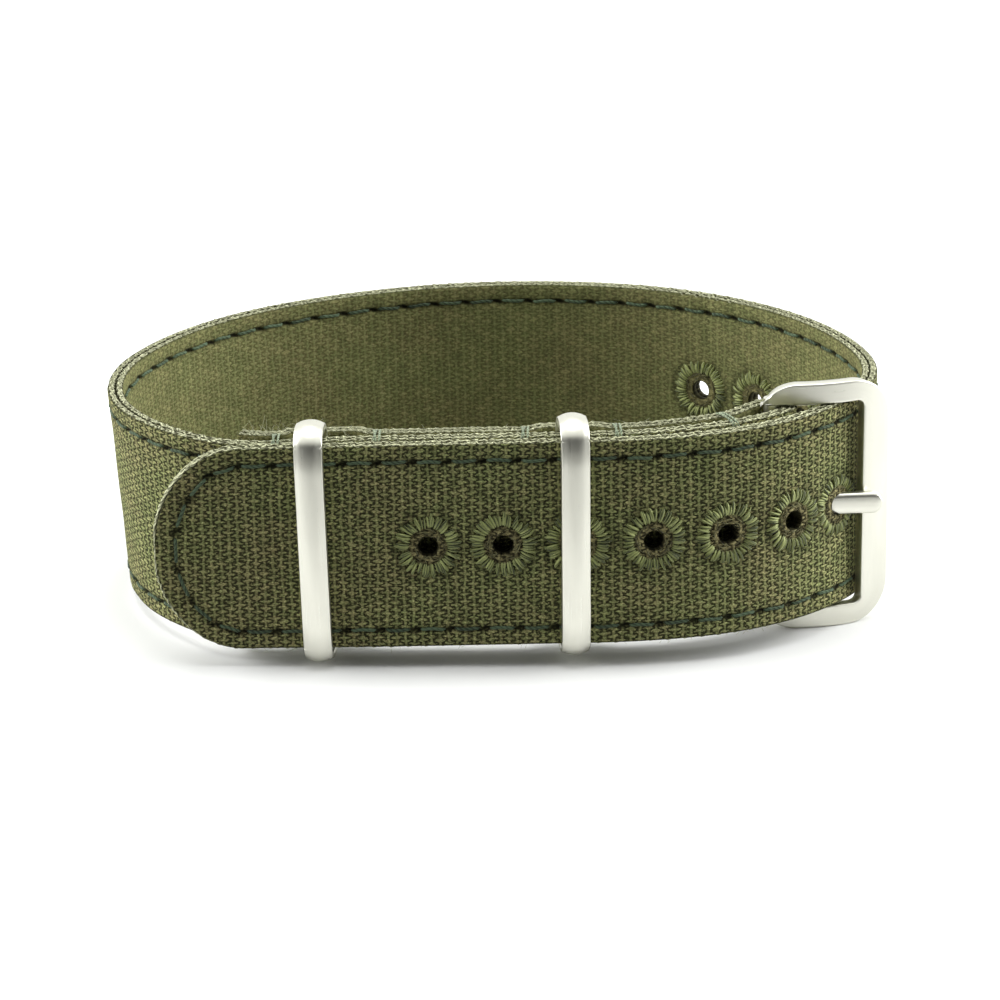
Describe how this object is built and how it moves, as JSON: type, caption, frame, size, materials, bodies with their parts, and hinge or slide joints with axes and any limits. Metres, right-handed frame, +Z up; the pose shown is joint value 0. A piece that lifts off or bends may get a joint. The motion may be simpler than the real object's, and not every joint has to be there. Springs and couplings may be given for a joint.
{
  "type": "canvas watch strap",
  "caption": "Two-ply canvas watch strap closed in a loop, with embroidered eyelets, ring keepers and a curved plate buckle with a prong.",
  "frame": {"origin": "middle of the footprint, on the surface that the strap stands on", "axes": "+X towards the buckle, +Y from the front, where the tail lies, to the back, +Z up across the strap's width"},
  "size_m": [0.074, 0.055, 0.0245],
  "materials": {
    "canvas_outer": "coarse plain-woven olive canvas",
    "canvas_lining": "coarse plain-woven olive canvas",
    "thread": "pale blue-green sewing thread",
    "embroidery": "satin-stitched green thread",
    "steel": "brushed along its length, with polished edges"
  },
  "bodies": {
    "strap": {"outer_ply": "canvas_outer", "inner_ply": "canvas_lining", "needle_thread": "thread", "bobbin_thread": "thread", "cross_seam_1": "thread", "cross_seam_2": "thread", "cross_seam_3": "thread", "cross_seam_4": "thread", "cross_seam_5": "thread", "eyelet_1": "embroidery", "eyelet_2": "embroidery", "eyelet_3": "embroidery", "eyelet_4": "embroidery", "eyelet_5": "embroidery", "eyelet_6": "embroidery", "eyelet_7": "embroidery", "eyelet_8": "embroidery", "eyelet_9": "embroidery", "eyelet_10": "embroidery", "eyelet_11": "embroidery", "eyelet_12": "embroidery", "eyelet_13": "embroidery"},
    "buckle": {"buckle_frame": "steel", "buckle_pin": "steel"},
    "prong": {"prong": "steel"},
    "keeper_1": {"keeper_1": "steel"},
    "keeper_2": {"keeper_2": "steel"}
  },
  "joints": [
    {"name": "buckle_hinge", "type": "hinge", "parent": "strap", "child": "buckle", "pos_m": [0.02569, -0.01602, 0.01221], "axis": [0.0153, -0.0399, -0.9991], "range_deg": [0, 2]},
    {"name": "prong_hinge", "type": "hinge", "parent": "buckle", "child": "prong", "pos_m": [0.02569, -0.01602, 0.01221], "axis": [0.0153, -0.0399, -0.9991], "range_deg": [0, 4]},
    {"name": "keeper_1_slide", "type": "slide", "parent": "strap", "child": "keeper_1", "axis": [0.9999, 0, 0.0154], "range_m": [-0.0002, 0.0025]},
    {"name": "keeper_2_slide", "type": "slide", "parent": "strap", "child": "keeper_2", "axis": [0.9999, 0, 0.0154], "range_m": [-0.0016, 0.0007]}
  ]
}
